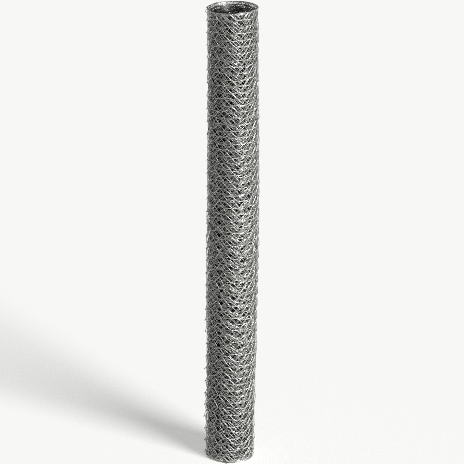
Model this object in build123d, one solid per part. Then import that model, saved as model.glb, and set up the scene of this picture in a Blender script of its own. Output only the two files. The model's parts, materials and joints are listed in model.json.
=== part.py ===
from build123d import *
import os
from math import floor, pi, sqrt

# A roll of hexagonal wire netting (chicken wire), standing on its end.
# Millimetres, +Z up, origin at the centre of the end that it stands on.
# The long strip of netting is wound on itself round an open bore, so the roll is
# one turned solid here. The turns show on both ends as one spiral ridge, which is
# the edge wire of the strip. The woven mesh itself is finer than this model.

# Driving sizes of the netting strip
mesh_size = 25.4            # between two parallel twisted sides of a hexagon
meshes_across = 36          # meshes from edge wire to edge wire
wire_diameter = 0.71
strip_length = 7620.0

# Driving sizes of the roll
bore_diameter = 34.0
turn_pitch = 0.77           # what each turn adds to the radius
middle_swell = 2.0          # the middle is this much further out than the ends
turn_gap = 0.38             # open width between two turns of the edge wire
edge_height = 3.0           # how far the edge wire stands free at each end

# Sizes that follow
bore_radius = bore_diameter / 2
roll_height = meshes_across * mesh_size + wire_diameter
end_radius = sqrt(bore_radius**2 + strip_length * turn_pitch / pi)
middle_radius = end_radius + middle_swell
edge_width = turn_pitch - turn_gap


def wound_body():
    """The wound netting as a turned solid: a straight bore and a slightly swollen side."""
    with BuildPart() as body:
        with BuildSketch(Plane.XZ):
            with BuildLine():
                Line((bore_radius, 0), (end_radius, 0))
                ThreePointArc((end_radius, 0), (middle_radius, roll_height / 2), (end_radius, roll_height))
                Line((end_radius, roll_height), (bore_radius, roll_height))
                Line((bore_radius, roll_height), (bore_radius, 0))
            make_face()
        revolve(axis=Axis.Z)
    return body.part


def spiral(first_radius, half_turns):
    """Half circles about two centres a quarter pitch each side of the axis, each half a pitch wider."""
    arcs = []
    for i in range(half_turns):
        side = 1 if i % 2 == 0 else -1
        centre = Vector(-side * turn_pitch / 4, 0)
        radius = first_radius + i * turn_pitch / 2
        start = centre + Vector(side * radius, 0)
        middle = centre + Vector(0, side * radius)
        end = centre - Vector(side * radius, 0)
        arcs.append(ThreePointArc(start, middle, end))
    return arcs


def gap_between_turns():
    """The flat spiral ribbon that is open between the turns, seen on the roll's end."""
    first_radius = bore_radius + edge_width + turn_pitch / 4
    widest = end_radius - edge_width - turn_gap - turn_pitch / 4
    half_turns = floor((widest - first_radius) / (turn_pitch / 2)) + 1
    inner = spiral(first_radius, half_turns)
    outer = spiral(first_radius + turn_gap, half_turns)
    inner_end = Line(inner[0] @ 0, outer[0] @ 0)
    outer_end = Line(inner[-1] @ 1, outer[-1] @ 1)
    return make_face([*inner, outer_end, *outer, inner_end])


def netting_roll():
    """The wound body with the spiral gap sunk into both ends, which leaves the edge wire standing."""
    ribbon = gap_between_turns()
    lower_gap = extrude(ribbon, amount=edge_height, dir=(0, 0, 1))
    upper_gap = Pos(0, 0, roll_height - edge_height) * lower_gap
    return wound_body() - lower_gap - upper_gap


os.makedirs("parts", exist_ok=True)
roll = netting_roll()
roll.label = "wire_netting_roll"
export_step(roll, "parts/wire_netting_roll.step")
print("ends", round(2 * end_radius, 2), "middle", round(2 * middle_radius, 2), "height", round(roll_height, 2))
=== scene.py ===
"""Dresses the turned solid of a roll of chicken wire as the real thing: one strip of woven wire, wound up.

Every wire of the strip is made, turn by turn, from the sizes of the netting and of the roll.
The outer turns have their wires round and truly twisted, and the turns behind them have fewer faces.
"""

import json
import logging
import math
from dataclasses import dataclass, field
from enum import Enum

import bpy
import numpy as np
from mathutils import Matrix, Vector


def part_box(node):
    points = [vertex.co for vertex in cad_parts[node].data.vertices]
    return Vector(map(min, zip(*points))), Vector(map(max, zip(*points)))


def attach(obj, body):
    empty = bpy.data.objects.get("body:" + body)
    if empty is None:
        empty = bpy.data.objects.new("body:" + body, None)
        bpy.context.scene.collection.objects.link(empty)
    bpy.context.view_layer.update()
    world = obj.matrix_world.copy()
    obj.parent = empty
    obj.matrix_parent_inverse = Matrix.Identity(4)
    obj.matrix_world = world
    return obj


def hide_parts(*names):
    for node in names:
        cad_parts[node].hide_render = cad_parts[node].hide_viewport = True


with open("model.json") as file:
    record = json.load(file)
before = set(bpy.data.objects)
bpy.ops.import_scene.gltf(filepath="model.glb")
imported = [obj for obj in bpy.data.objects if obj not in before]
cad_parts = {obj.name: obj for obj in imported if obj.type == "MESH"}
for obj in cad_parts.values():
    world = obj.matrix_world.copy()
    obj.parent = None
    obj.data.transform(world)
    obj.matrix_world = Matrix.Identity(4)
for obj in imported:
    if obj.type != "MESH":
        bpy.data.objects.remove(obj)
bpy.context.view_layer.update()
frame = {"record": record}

Array = np.ndarray
Colour = tuple[float, float, float, float]

MM = 0.001
MESH = 25.4 * MM  # between two twists side by side: one inch
MESHES_ACROSS = 36
STRIP_LENGTH = 7.62
END_RADIUS = 46.44 * MM  # of the turned solid, at its two ends
NODE = "wire_netting_roll"
WHITE = (1.0, 1.0, 1.0, 1.0)
SHORTEST = 1e-12  # a vector shorter than this has no direction
END_SPREAD = 400  # the corners of a wire's cut end lie this part of the flat map's width apart
log = logging.getLogger("roll")


def linear(code: str) -> Colour:
    """Turns an sRGB hex colour into the linear colour that a shader takes, by the sRGB standard's numbers.

    Args:
        code: Six hex digits after a hash sign.

    Returns:
        Red, green, blue and an alpha of 1.
    """
    parts = [int(code[i : i + 2], 16) / 255 for i in (1, 3, 5)]
    red, green, blue = (p / 12.92 if p <= 0.04045 else ((p + 0.055) / 1.055) ** 2.4 for p in parts)
    return red, green, blue, 1.0


def add_node(
    tree: bpy.types.NodeTree, kind: str, settings: dict[str, object] | None = None, **inputs: object
) -> bpy.types.Node:
    """Adds one shader node with its settings and its inputs.

    Args:
        tree: The node tree that it goes into.
        kind: Blender's name for the node, without the ShaderNode in front.
        settings: Properties of the node itself.
        **inputs: For each input, a value or the output that feeds it. An input goes by its name, with
            _ for a space, or by i and its number where a name isn't enough.

    Returns:
        The new node.
    """
    node = tree.nodes.new("ShaderNode" + kind)
    for name, value in (settings or {}).items():
        setattr(node, name, value)
    for name, value in inputs.items():
        socket = node.inputs[int(name[1:]) if name[1:].isdigit() else name.replace("_", " ")]
        if isinstance(value, bpy.types.NodeSocket):
            tree.links.new(value, socket)
        else:
            socket.default_value = value
    return node


def seen_directly(tree: bpy.types.NodeTree) -> bpy.types.NodeSocket:
    """Tells the rays that see a thing from those that only gather its light.

    Args:
        tree: The node tree of the thing.

    Returns:
        An output that is 1 for a ray from the camera, off a mirror or through glass, and 0 for any other.
    """
    path = add_node(tree, "LightPath").outputs
    either = {"operation": "MAXIMUM"}
    seen = add_node(tree, "Math", either, i0=path["Is Camera Ray"], i1=path["Is Glossy Ray"])
    seen = add_node(tree, "Math", either, i0=seen.outputs[0], i1=path["Is Transmission Ray"])
    return seen.outputs[0]


@dataclass
class Ripple:
    """A smooth, seeded unevenness over a surface, from about -1 to 1, as a sum of waves."""

    seed: int
    longest: float  # the longest wave, in metres
    shortest: float  # and the shortest
    waves: int = 10
    peak: float = 1.6  # the height that counts as 1, in root mean squares of the sum

    def __post_init__(self) -> None:
        """Draws the length, heading and phase of each wave."""
        rng = np.random.default_rng(self.seed)
        size = np.exp(rng.uniform(math.log(self.shortest), math.log(self.longest), self.waves))
        heading = rng.uniform(0, math.tau, self.waves)
        self.along = math.tau / size * np.cos(heading)
        self.across = math.tau / size * np.sin(heading)
        self.phase = rng.uniform(0, math.tau, self.waves)
        self.scale = 1 / math.sqrt(self.waves / 2)

    def at(self, u: Array, v: Array) -> Array:
        """Adds up the waves.

        Args:
            u: Places along the surface.
            v: Places across it.

        Returns:
            The height of the unevenness at each place.
        """
        total = np.zeros(np.broadcast(u, v).shape)
        for along, across, phase in zip(self.along, self.across, self.phase):
            total += np.sin(along * u + across * v + phase)
        return total * self.scale / self.peak


@dataclass(frozen=True)
class Detail:
    """How finely a stretch of wire is made."""

    sides: int  # round the wire
    steps: int  # along one twist
    slant: tuple[tuple[float, float], ...]  # points along a slanted wire: share of its run and of its rise


class Grade(Enum):
    """The kinds of detail, from the turns that show to those deep in the roll."""

    OUTER = Detail(sides=4, steps=18, slant=((0.09, 0.05), (0.5, 0.5), (0.91, 0.95)))
    NEAR = Detail(sides=3, steps=15, slant=((0.12, 0.08), (0.88, 0.92)))
    DEEP = Detail(sides=3, steps=1, slant=())
    EDGE = Detail(sides=4, steps=8, slant=((0.12, 0.08), (0.88, 0.92)))


@dataclass
class NettingStrip:
    """The strip of hexagonal netting, laid flat: u runs along it, z across it and w out of it.

    Wires run along the strip. Each is twisted by turns with its neighbour on either side, so it
    zigzags over half a mesh, and the first and last wires run straight as the two edges.
    A knot is one twist of two wires, and a column is the row of knots across the strip.
    """

    wire_diameter: float
    length: float
    mesh: float
    meshes_across: int
    twist_length: float = 10.35 * MM
    slant_run: float = 11.5 * MM  # how far along the strip a wire takes from one knot to the next
    coils: int = 2  # full turns in each knot
    # How uneven the netting is, as standard deviations.
    column_shift: float = 0.7 * MM  # of whole columns along the strip
    knot_shift: float = 0.5 * MM  # of single knots along it
    knot_lift: float = 0.4 * MM  # across it
    knot_out: float = 0.2 * MM  # and out of it
    knot_tilt: float = 0.03  # in radians
    slant_bow: float = 0.2 * MM  # of the wires between knots
    # How far the netting is pulled askew and sags over longer stretches, and the longest and shortest waves.
    skew_reach: float = 2.3 * MM
    skew_waves: tuple[float, float] = (0.5, 0.1)
    sag_reach: float = 2.8 * MM
    sag_waves: tuple[float, float] = (0.6, 0.15)
    # How far a wire lies from the middle of its knot at the strip's edges, in wire radii.
    edge_apart: float = 0.35
    beside_edge_apart: float = 1.65
    stub_share: float = 0.7  # of the last column's knots that is left where the strip was cut
    seed: int = 11
    pitch: float = field(init=False)
    columns: int = field(init=False)

    def __post_init__(self) -> None:
        """Works out the columns of knots and draws how uneven each knot and slanted wire is."""
        self.pitch = self.twist_length + self.slant_run
        self.columns = int(self.length / self.pitch) // 2 * 2
        rng = np.random.default_rng(self.seed)
        knots = (self.columns + 1, self.meshes_across + 1)
        self.shift = rng.normal(0, self.knot_shift, knots) + rng.normal(0, self.column_shift, (knots[0], 1))
        self.lift = rng.normal(0, self.knot_lift, knots)
        self.tilt = rng.normal(0, self.knot_tilt, knots)
        self.bow = rng.normal(0, self.slant_bow, (self.columns + 1, self.last_wire + 1, 2))
        self.out = rng.normal(0, self.knot_out, knots)
        self.skew = Ripple(self.seed + 1, *self.skew_waves)
        self.sag = Ripple(self.seed + 2, *self.sag_waves)
        # The straight edge wires hold their knots level.
        self.lift[:, 0] = self.lift[:, -1] = 0
        self.tilt[:, 0] = self.tilt[:, -1] = 0

    @property
    def last_wire(self) -> int:
        """The number of the far edge wire, counted from 0 at the near one."""
        return 2 * self.meshes_across + 1

    @property
    def width(self) -> float:
        """The distance between the two edge wires."""
        return self.mesh * self.meshes_across

    def knots(self, wires: Array, columns: Array) -> tuple[Array, Array, Array, Array, Array]:
        """Finds the knot that each wire is in, in each column.

        Args:
            wires: Numbers of the wires.
            columns: Numbers of the columns.

        Returns:
            For each wire and column: the knot's middle along u, z and w, its tilt, and the side
            of the knot that the wire comes in on (1 above, -1 below).
        """
        wire, column = np.meshgrid(wires, columns, indexing="ij")
        odd = column % 2
        knot = (wire - odd) // 2
        side = np.where((wire % 2 == 1) == (odd == 0), 1.0, -1.0)
        z = (knot + odd / 2) * self.mesh + self.lift[column, knot]
        u = (column + 0.5) * self.pitch + self.shift[column, knot]
        u = u + self.skew_reach * self.skew.at(u, z)
        middle = np.sin(math.pi * np.clip(z / self.width, 0, 1))
        z = z + self.sag_reach * self.sag.at(u, z) * np.sqrt(middle)
        return u, z, self.out[column, knot], self.tilt[column, knot], side

    def reach(self, wires: Array, columns: Array) -> Array:
        """Works out how far each wire lies from the middle of its knot.

        Args:
            wires: Numbers of the wires.
            columns: Numbers of the columns.

        Returns:
            The distance for each wire and column.
        """
        wire, column = np.meshgrid(wires, columns, indexing="ij")
        edge = (wire == 0) | (wire == self.last_wire)
        beside = ((wire == 1) | (wire == self.last_wire - 1)) & (column % 2 == 0)
        share = np.where(edge, self.edge_apart, np.where(beside, self.beside_edge_apart, 1.0))
        return share * self.wire_diameter / 2

    def twists(self, wires: Array, columns: Array, share: Array) -> Array:
        """Follows wires through their knots.

        Args:
            wires: Numbers of the wires.
            columns: Numbers of the columns.
            share: The places along the knot, from 0 at its start to 1 at its end.

        Returns:
            Places as u, z and w, in an array of wires by columns by places by 3.
        """
        u, z, w, tilt, side = self.knots(wires, columns)
        sense = np.where(columns % 2 == 0, 1.0, -1.0)[None, :, None]
        spin = math.tau * self.coils * share * sense
        along = (share - 0.5) * self.twist_length
        reach = (side * self.reach(wires, columns))[..., None]
        off = reach * np.cos(spin)
        slope, run = np.sin(tilt)[..., None], np.cos(tilt)[..., None]
        places = [
            u[..., None] + along * run - off * slope,
            z[..., None] + along * slope + off * run,
            w[..., None] + reach * np.sin(spin),
        ]
        return np.stack(places, -1)

    def paths(self, wires: Array, first: int, last: int, detail: Detail) -> Array:
        """Follows wires from the start of one column's knots to the start of another's.

        Args:
            wires: Numbers of the wires, with neither edge wire among them.
            first: The column that the paths start in.
            last: The column that they end at.
            detail: How finely they are made.

        Returns:
            Places as u, z and w, in an array of wires by points by 3.
        """
        twist = self.twists(wires, np.arange(first, last + 1), np.linspace(0, 1, detail.steps + 1))
        start, end = twist[:, 1:, 0], twist[:, :-1, -1]
        bow = self.bow[first:last, wires].swapaxes(0, 1)
        slants = []
        for run, rise in detail.slant:
            # The bow is nothing at either knot and whole halfway between them.
            place = end + (start - end) * np.array([run, rise, run])
            place[..., 1:] += bow * 4 * run * (1 - run)
            slants.append(place[:, :, None])
        column_points = np.concatenate([twist[:, :-1], *slants], 2)
        body = column_points.reshape(len(wires), -1, 3)
        return np.concatenate([body, start[:, -1:]], 1)

    def stubs(self, wires: Array, steps: int) -> Array:
        """Follows wires into the last column's knots, as far as where the strip was cut."""
        share = np.linspace(0, self.stub_share, steps + 1)
        return self.twists(wires, np.array([self.columns]), share)[:, 0]

    def edge_path(self, wire: int, steps: int) -> Array:
        """Follows one edge wire along the whole strip.

        Args:
            wire: Its number, the first or the last.
            steps: Points for each column.

        Returns:
            Places as u, z and w, in an array of 1 by points by 3.
        """
        u = np.linspace(0.5 * self.pitch, (self.columns + 0.5) * self.pitch, self.columns * steps + 1)
        z = np.full_like(u, self.width if wire else 0.0)
        return np.stack([u, z, np.zeros_like(u)], -1)[None]


@dataclass
class Laid:
    """Places on the strip, and where an even winding lays them."""

    u: Array  # along the strip
    z: Array  # across it
    radius: Array  # distance from the roll's axis
    angle: Array  # round the axis
    level: Array  # height, as a share of the roll's
    depth: Array  # share of the way from the bore to the outside
    outer: Array  # 0 in all turns but the outer ones, where it rises to 1


@dataclass
class Winding:
    """Winds the flat strip up into the roll and gives it the unevenness of the real one.

    Levels, and the reaches beside them, are shares of the roll's height. Waves are the longest and the
    shortest in metres, and how many are summed. A curve is the power that a share is raised to.
    """

    bore_radius: float
    end_radius: float
    height: float
    wire_diameter: float
    length: float
    mesh: float
    loose: float = 1.6 * MM  # how much further out the netting reaches than the turned solid
    outer_from: float = 0.93  # share of the way out at which the outer turns begin
    outer_end: float = math.radians(183)  # the angle at which the strip ends
    # The side swells towards a level, and the whole roll bows towards +X, most just above mid height.
    swell: float = 2.3 * MM
    swell_level: float = 0.5
    swell_reach: float = 0.25
    axis_bow: float = 3.4 * MM
    bow_curve: float = 1.3
    # Turns slip up and down, are dented, and hang slack here and there on the outside.
    wander_reach: float = 1.5 * MM
    wander_waves: tuple[float, float] = (0.5, 0.12)
    dent_depth: tuple[float, float] = (0.25 * MM, 0.35 * MM)  # in every turn, and besides in outer ones
    dent_waves: tuple[float, float, int] = (0.12, 0.02, 16)
    slack_reach: float = 1.5 * MM
    slack_bias: float = 0.1
    slack_waves: tuple[float, float, int] = (0.09, 0.025, 14)
    # The inner turns are sunk into both ends in rings, and into the upper end also more and more towards
    # the bore. The upper end stands higher on one side.
    recess: float = 5.0 * MM
    ring_pitch: float = 8.0 * MM
    ring_depth: float = 0.5
    ring_wave: float = 0.35
    ring_wander: float = 0.3
    funnel: float = 9.0 * MM
    recess_curve: int = 6
    end_skew: float = 3.4 * MM
    skew_angle: float = math.radians(-63)
    skew_curve: int = 8
    # The cut end of the strip springs out, by so much at each level.
    end_run: float = 24 * MM
    end_curve: float = 1.3
    end_ruffle: float = 0.3
    end_lift: tuple[tuple[float, float], ...] = (
        (0.0, 1.0 * MM),
        (0.07, 1.4 * MM),
        (0.22, 1.4 * MM),
        (0.3, 0.8 * MM),
        (0.7, 0.6 * MM),
        (0.9, 1.6 * MM),
    )
    # The foot is drawn in on its -X side, and there the knots of the outer turns are piled up.
    pinch: float = 1.2 * MM
    pinch_reach: float = 0.32
    pinch_curve: float = 0.6
    knot_pile: float = 3.2 * MM
    pile_level: float = 0.1
    pile_reach: float = 0.11
    pile_angle: float = math.radians(28)
    pile_from: float = 0.8
    pile_fade: float = 0.1
    clearance: float = 0.8 * MM  # kept above the floor, so that no uneven wire goes below it
    seed: int = 5

    def __post_init__(self) -> None:
        """Works out the spiral and draws its unevenness."""
        self.first = self.bore_radius + self.wire_diameter
        self.last = self.end_radius + self.loose - self.wire_diameter / 2
        self.per_turn = math.pi * (self.last**2 - self.first**2) / self.length
        self.turns = (self.last - self.first) / self.per_turn
        self.wander = Ripple(self.seed, *self.wander_waves)
        self.dent = Ripple(self.seed + 1, *self.dent_waves)
        self.slack = Ripple(self.seed + 2, *self.slack_waves)

    def lay(self, u: Array, z: Array) -> Laid:
        """Winds places up evenly.

        Args:
            u: Places along the strip.
            z: Places across it.

        Returns:
            Where they are laid.
        """
        radius = np.sqrt(self.first**2 + np.maximum(u, 0) * self.per_turn / math.pi)
        angle = self.outer_end + math.tau * ((radius - self.first) / self.per_turn - self.turns)
        depth = (radius - self.first) / (self.last - self.first)
        outer = np.clip((depth - self.outer_from) / (1 - self.outer_from), 0, 1)
        return Laid(u, z, radius, angle, z / self.height, depth, outer)

    def place(self, points: Array) -> Array:
        """Moves places on the flat strip to where they are on the roll.

        Args:
            points: Places as u, z and w.

        Returns:
            The same places as x, y and z.
        """
        at = self.lay(points[..., 0], points[..., 1])
        foot = np.cos(math.pi / 2 * np.clip(at.level / self.pinch_reach, 0, 1))
        pinch = self.pinch * foot**self.pinch_curve
        away = at.radius + points[..., 2] + self.bulge(at) + self.sprung_end(at)
        away = away - pinch * at.depth + self.piled_knots(at)
        lean = np.sin(math.pi * np.clip(at.level, 0, 1) ** self.bow_curve)
        x = away * np.cos(at.angle) + self.axis_bow * lean + pinch
        y = away * np.sin(at.angle)
        return np.stack([x, y, self.heights(at)], -1)

    def bulge(self, at: Laid) -> Array:
        """Works out how far out the swollen side, the dents and the slack bring each place.

        Args:
            at: The places.

        Returns:
            Distances outwards.
        """
        up = (at.level - self.swell_level) / self.swell_reach
        swell = self.swell * np.exp(-up * up) * at.depth
        dent = self.dent.at(at.u, at.z) * (self.dent_depth[0] + self.dent_depth[1] * at.outer)
        slack = np.maximum(self.slack.at(at.u, at.z) + self.slack_bias, 0) * at.outer**2 * self.slack_reach
        return swell + dent + slack

    def sprung_end(self, at: Laid) -> Array:
        """Works out how far the cut end of the strip springs out of the roll.

        Args:
            at: The places.

        Returns:
            Distances outwards.
        """
        tail = np.clip((at.u - self.length + self.end_run) / self.end_run, 0, 1) ** self.end_curve
        lift = np.interp(at.level, *zip(*self.end_lift))
        return tail * lift * (1 + self.end_ruffle * self.slack.at(at.u, at.z))

    def piled_knots(self, at: Laid) -> Array:
        """Works out how far the knots stand out where they are piled up, on the -X side near the foot.

        Args:
            at: The places.

        Returns:
            Distances outwards.
        """
        aside = ((at.angle - self.outer_end + math.pi) % math.tau - math.pi) / self.pile_angle
        up = (at.level - self.pile_level) / self.pile_reach
        near = np.clip((at.depth - self.pile_from) / self.pile_fade, 0, 1)
        knots = 0.5 + 0.5 * np.cos(math.tau * at.z / self.mesh)
        return self.knot_pile * np.exp(-(aside**2) - up**4) * near * knots

    def heights(self, at: Laid) -> Array:
        """Works out how high each place lies, with the turns' edges uneven at the two ends.

        Args:
            at: The places.

        Returns:
            Heights above the floor.
        """
        level = np.clip(at.level, 0, 1)
        slip = self.wander.at(at.u, np.zeros_like(at.u))
        wander = self.wander_reach * slip * np.sqrt(np.sin(math.pi * level))
        rings = self.ring_wave * np.sin(math.tau * at.radius / self.ring_pitch) + self.ring_wander * slip
        recess = self.recess * np.clip(self.ring_depth + rings, 0, 1) * (1 - at.outer)
        funnel = self.funnel * (1 - np.clip(at.depth / self.outer_from, 0, 1))
        skew = self.end_skew * np.cos(at.angle - self.skew_angle) * level**self.skew_curve
        lowest = self.wire_diameter / 2 + self.clearance
        squeezed = at.z * (1 - self.clearance / self.height)
        sunk = (recess + funnel) * level**self.recess_curve
        raised = recess * (1 - level) ** self.recess_curve
        return lowest + squeezed + wander + skew - sunk + raised


def unit(vectors: Array) -> Array:
    """Returns the vectors at a length of 1."""
    return vectors / np.maximum(np.linalg.norm(vectors, axis=-1, keepdims=True), SHORTEST)


class WireBundle:
    """Closed round tubes along the paths of wires, gathered up to make one object.

    Each tube's sides are also laid out as one strip of a flat map, for baking.
    """

    def __init__(self, groups: list[tuple[Array, int]], radius: float) -> None:
        """Makes the tubes.

        Args:
            groups: Pairs of an array of wires by points by 3, and the number of sides of its tubes.
            radius: The wire's radius.
        """
        self.radius = radius
        self.vertices: list[Array] = []
        self.corners: list[Array] = []
        self.counts: list[Array] = []
        self.smooth: list[Array] = []
        self.maps: list[Array] = []
        self.rows = sum(paths.shape[0] * (sides + 1) for paths, sides in groups)
        self.base = 0
        self.row = 0
        for paths, sides in groups:
            wires, points, _ = paths.shape
            self.add_rings(paths, sides)
            self.add_sides(wires, points, sides)
            self.add_ends(wires, points, sides)
            self.base += wires * points * sides
            self.row += wires * (sides + 1)

    def add_rings(self, paths: Array, sides: int) -> None:
        """Sets a ring of corners round each point of each path.

        Args:
            paths: The paths, in an array of wires by points by 3.
            sides: How many corners a ring has.
        """
        ahead = unit(np.gradient(paths, axis=1))
        out = paths * np.array([1.0, 1.0, 0.0])
        out = unit(out - (out * ahead).sum(-1, keepdims=True) * ahead)
        beside = np.cross(ahead, out)
        turn = math.tau * np.arange(sides) / sides
        # A tube of few sides is a little wider, so that it looks as thick as a round one.
        half = math.pi / sides
        wide = self.radius * math.sqrt(math.pi / (sides * math.sin(half) * math.cos(half)))
        ring = out[:, :, None] * np.cos(turn)[:, None] + beside[:, :, None] * np.sin(turn)[:, None]
        self.vertices.append((paths[:, :, None] + wide * ring).reshape(-1, 3))

    def add_faces(self, faces: Array, flat: Array, smooth: bool) -> None:
        """Adds faces of one kind.

        Args:
            faces: Numbers of their corners, in an array of faces by corners.
            flat: The place of each of those corners on the flat map.
            smooth: Whether they are shaded as a round surface.
        """
        self.corners.append(faces.reshape(-1))
        self.counts.append(np.full(len(faces), faces.shape[1]))
        self.smooth.append(np.full(len(faces), smooth))
        self.maps.append(flat)

    def add_sides(self, wires: int, points: int, sides: int) -> None:
        """Joins the rings of each wire.

        Args:
            wires: How many wires there are.
            points: How many rings each has.
            sides: How many corners a ring has.
        """
        counted = np.arange(wires), np.arange(points - 1), np.arange(sides)
        wire, point, side = np.meshgrid(*counted, indexing="ij")
        here = self.base + (wire * points + point) * sides
        after = (side + 1) % sides
        quads = np.stack([here + side, here + sides + side, here + sides + after, here + after], -1)
        low = (self.row + wire * (sides + 1) + side) / self.rows
        high = low + 1 / self.rows
        left = point / (points - 1)
        right = (point + 1) / (points - 1)
        flat = np.stack([left, low, right, low, right, high, left, high], -1)
        self.add_faces(quads.reshape(-1, 4), flat.reshape(-1, 2), True)

    def add_ends(self, wires: int, points: int, sides: int) -> None:
        """Closes both ends of each wire.

        Args:
            wires: How many wires there are.
            points: How many rings each has.
            sides: How many corners a ring has.
        """
        corner = np.arange(sides)
        start = self.base + np.arange(wires)[:, None] * points * sides
        row = (self.row + np.arange(wires) * (sides + 1) + sides + 0.5) / self.rows
        flat = np.stack([np.tile(corner / END_SPREAD, wires), np.repeat(row, sides)], -1)
        self.add_faces(start + corner, flat, False)
        self.add_faces(start + (points - 1) * sides + corner[::-1], flat, False)

    def make(self, name: str) -> bpy.types.Object:
        """Makes one object of the tubes.

        Args:
            name: The object's name.

        Returns:
            The new object, linked to the scene.
        """
        vertices = np.concatenate(self.vertices).astype(np.float32)
        corners = np.concatenate(self.corners).astype(np.int32)
        counts = np.concatenate(self.counts)
        mesh = bpy.data.meshes.new(name)
        mesh.vertices.add(len(vertices))
        mesh.vertices.foreach_set("co", vertices.ravel())
        mesh.loops.add(len(corners))
        mesh.loops.foreach_set("vertex_index", corners)
        mesh.polygons.add(len(counts))
        mesh.polygons.foreach_set("loop_start", (np.cumsum(counts) - counts).astype(np.int32))
        mesh.polygons.foreach_set("use_smooth", np.concatenate(self.smooth))
        flat = mesh.uv_layers.new(name="OFBake")
        flat.uv.foreach_set("vector", np.concatenate(self.maps).astype(np.float32).ravel())
        mesh.update(calc_edges=True)
        mesh.validate()
        piece = bpy.data.objects.new(name, mesh)
        bpy.context.scene.collection.objects.link(piece)
        return piece


@dataclass(frozen=True)
class StrayEnd:
    """A cut or sprung end of two twined wires that stands out of the roll."""

    angle: float  # where it comes out, in degrees round the roll
    height: float
    out: float  # how far it stands out
    along: float  # how far it runs round the roll
    rise: float
    root: float = 1.0 * MM  # how far inside the roll's side it starts
    bend: float = 0.8  # of a half circle, out and back
    apart: float = 0.42 * MM  # how far each wire lies from the middle of the two
    twist: float = 9.0  # in radians, over the whole end
    points: int = 25

    def path(self, surface: float) -> Array:
        """Follows the wires out of the roll and back towards it.

        Args:
            surface: The roll's radius there.

        Returns:
            Places of the two wires as x, y and z, in an array of 2 by points by 3.
        """
        share = np.linspace(0, 1, self.points)
        apart = np.array([[self.apart], [-self.apart]])
        bow = self.out * np.sin(share * math.pi * self.bend)
        away = surface - self.root + bow + apart * np.cos(self.twist * share)
        turn = np.broadcast_to(math.radians(self.angle) + self.along * share / surface, away.shape)
        height = self.height + self.rise * share + apart * np.sin(self.twist * share)
        return np.stack([away * np.cos(turn), away * np.sin(turn), height], -1)


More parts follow.
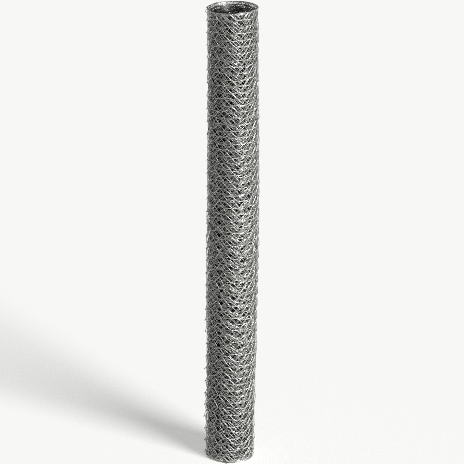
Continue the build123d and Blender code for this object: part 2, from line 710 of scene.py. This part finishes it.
@dataclass(frozen=True)
class GalvanisedWire:
    """Drawn steel wire, hot dipped in zinc after weaving, with painted shade darkening the turns deeper in.
    """

    # The dip gives the eye a grey metal with a broken, watery shine, as brighter and duller spots of
    # zinc follow each other along the wire.
    bright: str = "#e9e9e6"
    dull: str = "#b0b0ae"
    # Deeper in the roll, the colour is darkened as painted shade, on top of the wires' own shading.
    # The upper end is more open, so there the painted shade is lighter.
    inner: str = "#6a6a69"  # the painted shade's colour, multiplied onto either colour of zinc
    inner_radius: float = 36 * MM  # the painted shade is whole inside this radius
    outer_radius: float = 42 * MM  # and gone outside this one
    end_height: float = 915 * MM  # of the upper end
    end_reach: float = 24 * MM  # how far down from it the painted shade thins
    end_light: float = 0.45  # share of the painted shade that is gone at the upper end
    # Thicker and thinner zinc follow each other at a few millimetres, as they ran off the wire.
    spot_size: float = 3.0 * MM
    spot_detail: float = 2.0
    spot_roughness: float = 0.6
    spot_edges: tuple[float, float] = (0.35, 0.65)
    # A dipped coat has a grain of about 0.1 mm, drawn coarser here so that it shows.
    grain_size: float = 0.35 * MM
    grain_detail: float = 1.0
    grain_depth: float = 0.03 * MM
    bump: float = 0.1
    roughness: tuple[float, float] = (0.32, 0.44)  # of bright and of dull zinc
    roughness_edges: tuple[float, float] = (0.3, 0.7)

    def material(self) -> bpy.types.Material:
        """Makes the finish as a node material.

        Returns:
            The new material.
        """
        made = bpy.data.materials.new("hot_dipped_zinc_on_steel_wire")
        made.use_nodes = True
        tree = made.node_tree
        tree.nodes.clear()
        place = add_node(tree, "TexCoord").outputs["Object"]
        spots = add_node(
            tree,
            "TexNoise",
            Vector=place,
            Scale=1 / self.spot_size,
            Detail=self.spot_detail,
            Roughness=self.spot_roughness,
        ).outputs["Fac"]
        rough = add_node(
            tree,
            "MapRange",
            Value=spots,
            From_Min=self.roughness_edges[0],
            From_Max=self.roughness_edges[1],
            To_Min=self.roughness[1],
            To_Max=self.roughness[0],
        )
        grain = add_node(tree, "TexNoise", Vector=place, Scale=1 / self.grain_size, Detail=self.grain_detail)
        bump = add_node(
            tree, "Bump", Height=grain.outputs["Fac"], Strength=self.bump, Distance=self.grain_depth
        )
        metal = add_node(
            tree,
            "BsdfPrincipled",
            Base_Color=self.colour(tree, place, spots),
            Metallic=1.0,
            Roughness=rough.outputs["Result"],
            Normal=bump.outputs["Normal"],
        )
        add_node(tree, "OutputMaterial", Surface=metal.outputs["BSDF"])
        return made

    def colour(
        self, tree: bpy.types.NodeTree, place: bpy.types.NodeSocket, spots: bpy.types.NodeSocket
    ) -> bpy.types.NodeSocket:
        """Colours the spots of zinc, and the painted shade over them deeper in.

        Args:
            tree: The material's node tree.
            place: The place on the roll.
            spots: How bright the zinc is there.

        Returns:
            The output that holds the colour.
        """
        edges = {"From_Min": self.spot_edges[0], "From_Max": self.spot_edges[1]}
        sharp = add_node(tree, "MapRange", Value=spots, **edges).outputs["Result"]
        mixed = {"data_type": "RGBA"}
        zinc = add_node(tree, "Mix", mixed, i0=sharp, i6=linear(self.dull), i7=linear(self.bright))
        # Painted shade: darker deeper in the roll, lighter towards the upper end.
        unshaded = self.free_of_painted_shade(tree, place)
        painted_shade_layer = add_node(tree, "Mix", mixed, i0=unshaded, i6=linear(self.inner), i7=WHITE)
        laid_over = {"data_type": "RGBA", "blend_type": "MULTIPLY"}
        return add_node(tree, "Mix", laid_over, i0=1.0, i6=zinc.outputs[2], i7=painted_shade_layer.outputs[2]).outputs[2]

    def free_of_painted_shade(self, tree: bpy.types.NodeTree, place: bpy.types.NodeSocket) -> bpy.types.NodeSocket:
        """Finds where the painted shade is lifted, from the depth in the roll and the distance from the
        upper end.

        Args:
            tree: The material's node tree.
            place: The place on the roll.

        Returns:
            An output that is 0 where the painted shade is whole and 1 where there is none.
        """
        level = add_node(tree, "VectorMath", {"operation": "MULTIPLY"}, i0=place, i1=(1, 1, 0)).outputs[0]
        radius = add_node(tree, "VectorMath", {"operation": "LENGTH"}, i0=level).outputs["Value"]
        span = {"From_Min": self.inner_radius, "From_Max": self.outer_radius}
        outside = add_node(tree, "MapRange", Value=radius, **span).outputs["Result"]
        height = add_node(tree, "SeparateXYZ", Vector=place).outputs["Z"]
        span = {"From_Min": self.end_height - self.end_reach, "From_Max": self.end_height}
        top = add_node(tree, "MapRange", Value=height, To_Max=self.end_light, **span).outputs["Result"]
        return add_node(tree, "Math", {"operation": "MAXIMUM"}, i0=outside, i1=top).outputs[0]


@dataclass
class NettingRoll:
    """The roll itself: the whole strip of netting wound up, made in pieces from the bore outwards."""

    strip: NettingStrip
    winding: Winding
    finish: GalvanisedWire = field(default_factory=GalvanisedWire)
    zinc: float = 0.06 * MM  # the coat's thickness
    strays: tuple[StrayEnd, ...] = (
        StrayEnd(angle=181, height=914 * MM, out=4.5 * MM, along=-3 * MM, rise=-11 * MM),
        StrayEnd(angle=262, height=1.0 * MM, out=9.0 * MM, along=8 * MM, rise=0.5 * MM),
        StrayEnd(angle=2, height=226 * MM, out=5.0 * MM, along=2 * MM, rise=-7 * MM),
    )
    outer_columns: int = 18  # the last of the strip's columns, which lie on the outside
    near_columns: int = 40  # those before them, which show through
    bore_columns: int = 6  # the first ones, which line the bore
    edge_steps: int = 6  # points of an edge wire for each column
    stub_steps: int = 12
    stub_sides: int = 4
    stray_sides: int = 6

    @property
    def first_outer(self) -> int:
        """The number of the first column that lies on the outside."""
        return self.strip.columns - self.outer_columns

    @property
    def first_near(self) -> int:
        """The number of the first column that shows through the outside."""
        return self.first_outer - self.near_columns

    @property
    def wire_radius(self) -> float:
        """The radius of the wire with its zinc."""
        return self.strip.wire_diameter / 2 + self.zinc

    def build(self) -> list[bpy.types.Object]:
        """Makes every piece, dresses it and puts it in the place of the turned solid.

        Returns:
            The pieces.
        """
        pieces = [*self.turns(), *self.edges(), self.cut_ends()]
        metal = self.finish.material()
        for piece in pieces:
            piece.data.materials.append(metal)
            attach(piece, "root")
            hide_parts(NODE)
            triangles = sum(len(p.vertices) - 2 for p in piece.data.polygons)
            log.info("%s: %d triangles", piece.name, triangles)
        return pieces

    def turns(self) -> list[bpy.types.Object]:
        """Makes the woven wires between the two edge wires, a stretch of the strip to a piece.

        Returns:
            The pieces.
        """
        bore, near, outer, columns = self.bore_columns, self.first_near, self.first_outer, self.strip.columns
        deep_middle = (bore + near) // 2
        near_middle = (near + outer) // 2
        outer_middle = (outer + columns) // 2
        spans = {
            "netting_bore_turn": (0, bore, Grade.NEAR),
            "netting_inner_turns": (bore, deep_middle, Grade.DEEP),
            "netting_middle_turns": (deep_middle, near, Grade.DEEP),
            "netting_near_turns_a": (near, near_middle, Grade.NEAR),
            "netting_near_turns_b": (near_middle, outer, Grade.NEAR),
            "netting_outer_turn_a": (outer, outer_middle, Grade.OUTER),
            "netting_outer_turn_b": (outer_middle, columns, Grade.OUTER),
        }
        woven = np.arange(1, self.strip.last_wire)
        pieces = []
        for name, (first, last, grade) in spans.items():
            # Deep in the roll, the two wires twisted with the edge wires are made with those, more finely.
            wires = woven[1:-1] if grade is Grade.DEEP else woven
            paths = self.winding.place(self.strip.paths(wires, first, last, grade.value))
            pieces.append(WireBundle([(paths, grade.value.sides)], self.wire_radius).make(name))
        return pieces

    def edges(self) -> list[bpy.types.Object]:
        """Makes both edge wires, and deep in the roll also the wires that are twisted with them.

        Returns:
            The pieces.
        """
        detail = Grade.EDGE.value
        last_wire = self.strip.last_wire
        pieces = []
        for name, edge, beside in (
            ("netting_lower_edge", 0, 1),
            ("netting_upper_edge", last_wire, last_wire - 1),
        ):
            straight = self.winding.place(self.strip.edge_path(edge, self.edge_steps))
            twined = self.strip.paths(np.array([beside]), self.bore_columns, self.first_near, detail)
            groups = [(straight, detail.sides), (self.winding.place(twined), detail.sides)]
            pieces.append(WireBundle(groups, self.wire_radius).make(name))
        return pieces

    def cut_ends(self) -> bpy.types.Object:
        """Makes the stubs of wire where the strip was cut, and the stray ends.

        Returns:
            The piece.
        """
        woven = np.arange(1, self.strip.last_wire)
        stubs = self.winding.place(self.strip.stubs(woven, self.stub_steps))
        strays = np.concatenate([stray.path(self.winding.end_radius) for stray in self.strays])
        groups = [(stubs, self.stub_sides), (strays, self.stray_sides)]
        return WireBundle(groups, self.wire_radius).make("netting_cut_ends")


@dataclass
class Studio:
    """The pale floor, the plain light and the camera."""

    # The camera's place and lens are worked out from the outlines of the roll's two ends.
    camera_distance: float = 5.6
    camera_height: float = 2.716
    aim_right: float = 2.0 * MM  # how far to the right of the roll's axis the camera stands
    pitch: float = math.radians(21.88)
    roll: float = math.radians(0.41)
    focal_pixels: float = 3171.0
    picture_pixels: float = 464.0
    sensor_width: float = 36.0
    clip_end: float = 200.0
    filter_width: float = 1.0  # in pixels: a wider one blurs wires of half a pixel into each other
    floor_radius: float = 40.0
    floor_colour: str = "#e8e8e6"
    floor_lift: float = 0.56  # glow that is only seen, and lights nothing, so that the floor is near white
    floor_bounce: str = "#8c8c8a"  # the floor's colour where it only throws light on the roll
    sun_azimuth: float = math.radians(48)  # to the right of the camera's side
    sun_height: float = math.radians(24)
    sun_angle: float = math.radians(25)
    sun_strength: float = 4.1
    fill: float = 0.06
    ceiling: tuple[float, float] = (math.radians(5), math.radians(9))  # where white turns to dim

    def build(self) -> None:
        """Makes the floor, the light and the camera."""
        self.make_floor()
        self.make_light()
        self.make_surround()
        self.make_camera()

    def make_floor(self) -> None:
        """Lays the floor at the height of the roll's lower end."""
        mesh = bpy.data.meshes.new("floor")
        r = self.floor_radius
        mesh.from_pydata([(-r, -r, 0), (r, -r, 0), (r, r, 0), (-r, r, 0)], [], [(0, 1, 2, 3)])
        floor = bpy.data.objects.new("floor", mesh)
        bpy.context.scene.collection.objects.link(floor)
        mesh.materials.append(self.floor_paint())
        log.info("floor")

    def floor_paint(self) -> bpy.types.Material:
        """Makes the floor's matt paint, rolled on.

        Returns:
            The new material.
        """
        # Matt paint gives the eye an even, pale surface with no shine on it, only the roll's shadow.
        paint = bpy.data.materials.new("pale_matt_floor_paint")
        paint.use_nodes = True
        tree = paint.node_tree
        tree.nodes.clear()
        pale = add_node(tree, "BsdfDiffuse", Color=linear(self.floor_colour))
        glow = add_node(tree, "Emission", Color=linear(self.floor_colour), Strength=self.floor_lift)
        lit = add_node(tree, "AddShader", i0=pale.outputs[0], i1=glow.outputs[0])
        plain = add_node(tree, "BsdfDiffuse", Color=linear(self.floor_bounce))
        mix = add_node(tree, "MixShader", i0=seen_directly(tree), i1=plain.outputs[0], i2=lit.outputs[0])
        add_node(tree, "OutputMaterial", Surface=mix.outputs[0])
        return paint

    def make_light(self) -> None:
        """Puts up one broad light from the right."""
        sun = bpy.data.lights.new("broad_light", "SUN")
        sun.energy = self.sun_strength
        sun.angle = self.sun_angle
        lamp = bpy.data.objects.new("broad_light", sun)
        level = math.cos(self.sun_height)
        right = math.sin(self.sun_azimuth) * level
        front = math.cos(self.sun_azimuth) * level
        towards = Vector((right, -front, math.sin(self.sun_height)))
        lamp.rotation_euler = towards.to_track_quat("Z", "Y").to_euler()
        bpy.context.scene.collection.objects.link(lamp)
        log.info("light")

    def make_surround(self) -> None:
        """Puts up an even, dim surround, which is seen as white behind the roll and below."""
        world = bpy.data.worlds.new("white_surround")
        bpy.context.scene.world = world
        world.use_nodes = True
        tree = world.node_tree
        tree.nodes.clear()
        way = add_node(tree, "SeparateXYZ", Vector=add_node(tree, "TexCoord").outputs["Generated"])
        low = add_node(
            tree,
            "MapRange",
            {"interpolation_type": "SMOOTHSTEP"},
            Value=way.outputs["Z"],
            From_Min=math.sin(self.ceiling[0]),
            From_Max=math.sin(self.ceiling[1]),
            To_Min=1.0,
            To_Max=0.0,
        )
        both = add_node(tree, "Math", {"operation": "MULTIPLY"}, i0=seen_directly(tree), i1=low.outputs[0])
        white = add_node(tree, "Background", Color=WHITE, Strength=1.0)
        fill = add_node(tree, "Background", Color=WHITE, Strength=self.fill)
        mix = add_node(tree, "MixShader", i0=both.outputs[0], i1=fill.outputs[0], i2=white.outputs[0])
        add_node(tree, "OutputWorld", Surface=mix.outputs[0])
        log.info("surround")

    def make_camera(self) -> None:
        """Stands the camera where the photograph was taken from."""
        camera = bpy.data.cameras.new("camera")
        camera.sensor_width = self.sensor_width
        camera.lens = self.focal_pixels * camera.sensor_width / self.picture_pixels
        camera.clip_end = self.clip_end
        stand = bpy.data.objects.new("camera", camera)
        place = Matrix.Translation((self.aim_right, -self.camera_distance, self.camera_height))
        look = Matrix.Rotation(math.pi / 2 - self.pitch, 4, "X")
        lean = Matrix.Rotation(self.roll, 4, "Z")
        stand.matrix_world = place @ look @ lean
        scene = bpy.context.scene
        scene.collection.objects.link(stand)
        scene.camera = stand
        scene.view_settings.view_transform = "Standard"
        # The denoiser wipes out wires of half a pixel, so it is off.
        scene.cycles.use_denoising = False
        scene.cycles.filter_width = self.filter_width
        log.info("camera")


def main() -> None:
    """Builds the roll from the frame's sizes, and the studio round it."""
    logging.basicConfig(level=logging.INFO, format="%(name)s: %(message)s")
    low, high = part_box(NODE)
    height = high.z - low.z
    wire_diameter = height - MESH * MESHES_ACROSS
    bore = next(mount for mount in frame["record"]["mounts"] if mount["name"] == "bore")
    bore_radius = bore["dims"]["r_mm"] * MM
    strip = NettingStrip(wire_diameter, STRIP_LENGTH, MESH, MESHES_ACROSS)
    winding = Winding(bore_radius, END_RADIUS, height, wire_diameter, STRIP_LENGTH, MESH)
    log.info("%d columns, %.1f turns, wire %.2f mm", strip.columns, winding.turns, wire_diameter / MM)
    NettingRoll(strip, winding).build()
    Studio().build()


if __name__ == "__main__":
    main()
